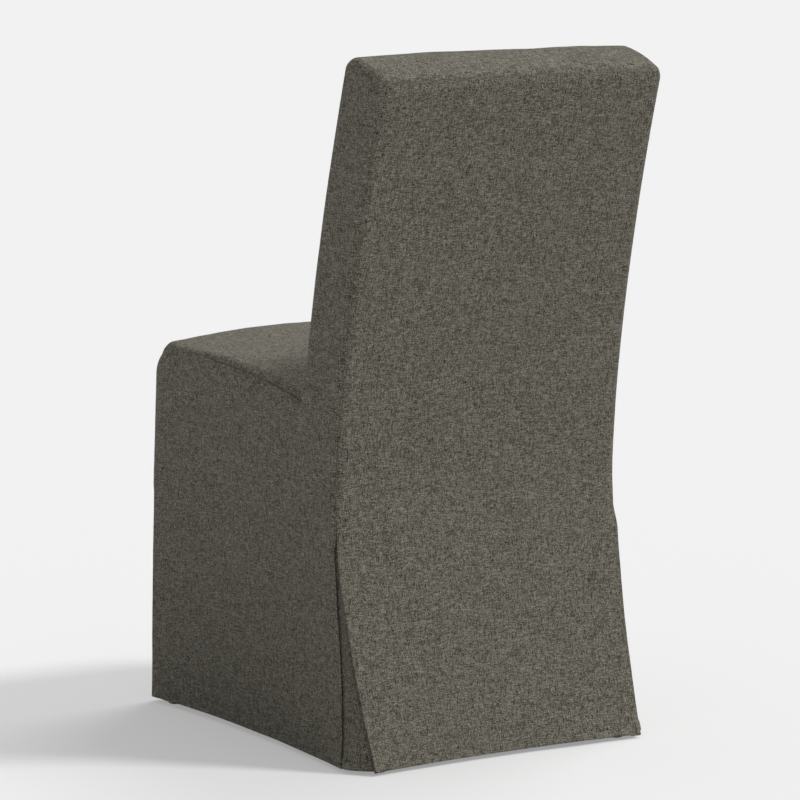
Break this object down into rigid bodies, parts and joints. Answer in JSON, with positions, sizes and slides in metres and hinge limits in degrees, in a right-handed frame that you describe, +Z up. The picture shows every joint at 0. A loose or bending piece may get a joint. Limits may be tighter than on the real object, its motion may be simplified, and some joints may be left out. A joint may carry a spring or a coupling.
{
  "type": "parsons chair",
  "caption": "Armless upholstered dining chair with a high sabre-curved back and a fitted linen-look skirt that opens in kick pleats at the corners.",
  "frame": {"origin": "on the floor, under the centre of the chair's bounding box", "axes": "+Z up, the chair faces -Y, +X is the sitter's left"},
  "size_m": [0.496, 0.6234, 0.9735],
  "materials": {
    "linen_cover": "matt heathered linen weave, dark warm grey-olive with pale slubs",
    "hardwood": "planed, unfinished",
    "foam": "cut open-cell foam",
    "wadding": "soft fibre sheet",
    "webbing": "woven strap",
    "hardboard": "pressed board",
    "black_cloth": "non-woven dust cloth",
    "nylon_glide": "moulded nylon"
  },
  "bodies": {
    "root": {"front_leg_left": "hardwood", "front_leg_right": "hardwood", "rear_post_left": "hardwood", "rear_post_right": "hardwood", "side_rail_left": "hardwood", "side_rail_right": "hardwood", "front_rail": "hardwood", "rear_rail": "hardwood", "crest_rail": "hardwood", "lower_back_rail": "hardwood", "corner_brace_front_left": "hardwood", "corner_brace_front_right": "hardwood", "corner_brace_rear_left": "hardwood", "corner_brace_rear_right": "hardwood", "seat_strap_long_1": "webbing", "seat_strap_long_2": "webbing", "seat_strap_long_3": "webbing", "seat_strap_cross_1": "webbing", "seat_strap_cross_2": "webbing", "seat_strap_cross_3": "webbing", "back_strap_upright_1": "webbing", "back_strap_upright_2": "webbing", "back_strap_cross_1": "webbing", "back_strap_cross_2": "webbing", "back_strap_cross_3": "webbing", "outer_back_board": "hardboard", "seat_foam": "foam", "back_foam": "foam", "rear_padding": "wadding", "top_padding": "wadding", "front_padding": "wadding", "rail_padding_left": "wadding", "rail_padding_right": "wadding", "post_padding_left": "wadding", "post_padding_right": "wadding", "dust_cover": "black_cloth", "glide_front_left": "nylon_glide", "glide_front_right": "nylon_glide", "glide_rear_left": "nylon_glide", "glide_rear_right": "nylon_glide", "outside_back_cover": "linen_cover", "inside_back_cover": "linen_cover", "top_boxing_cover": "linen_cover", "seat_top_cover": "linen_cover", "side_cover_left": "linen_cover", "side_cover_right": "linen_cover", "front_cover": "linen_cover", "pleat_underlay_rear_left": "linen_cover", "pleat_underlay_rear_right": "linen_cover", "pleat_underlay_front_left": "linen_cover", "pleat_underlay_front_right": "linen_cover"}
  },
  "joints": []
}
